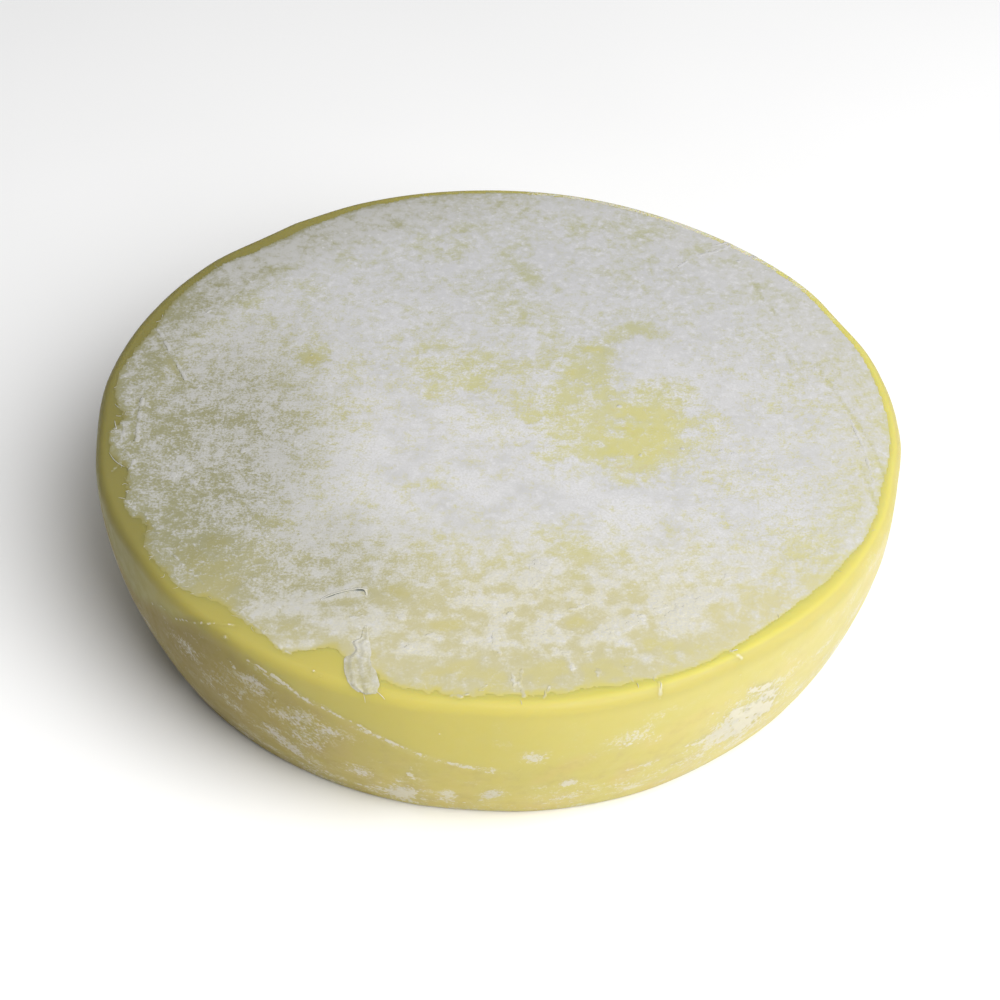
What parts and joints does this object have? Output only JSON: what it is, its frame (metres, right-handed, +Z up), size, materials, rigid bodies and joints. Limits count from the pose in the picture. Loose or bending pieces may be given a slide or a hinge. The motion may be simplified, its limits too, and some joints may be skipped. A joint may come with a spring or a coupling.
{
  "type": "shaving soap puck",
  "caption": "Round cast shaving soap puck with a bowed, tapering wall, a rounded shoulder and a dry, white, frayed ash film on its flat top.",
  "frame": {"origin": "centre of the flat base, on the surface that the puck rests on", "axes": "+Z up through the flat top; -Y towards the front, the side with the torn crust; +X to the right of the front"},
  "size_m": [0.08, 0.08, 0.0192],
  "materials": {
    "soap": "waxy satin, slightly translucent",
    "ash_film": "dry, chalky, fine fibrous texture",
    "ash_flake": "dry, papery",
    "ash_smear": "thin, dry, streaked"
  },
  "bodies": {
    "root": {"soap_body": "soap", "top_ash_film": "ash_film", "curled_lip": "ash_flake", "hanging_flake": "ash_flake", "rim_flakes": "ash_flake", "rim_fringe": "ash_film", "crust_ridges": "ash_flake", "ash_grains": "ash_flake", "wall_smear_right": "ash_smear", "wall_smear_left": "ash_smear", "wall_smear_front": "ash_smear", "seam_ash_beads": "ash_smear", "wall_ash_flecks": "ash_smear"}
  },
  "joints": []
}
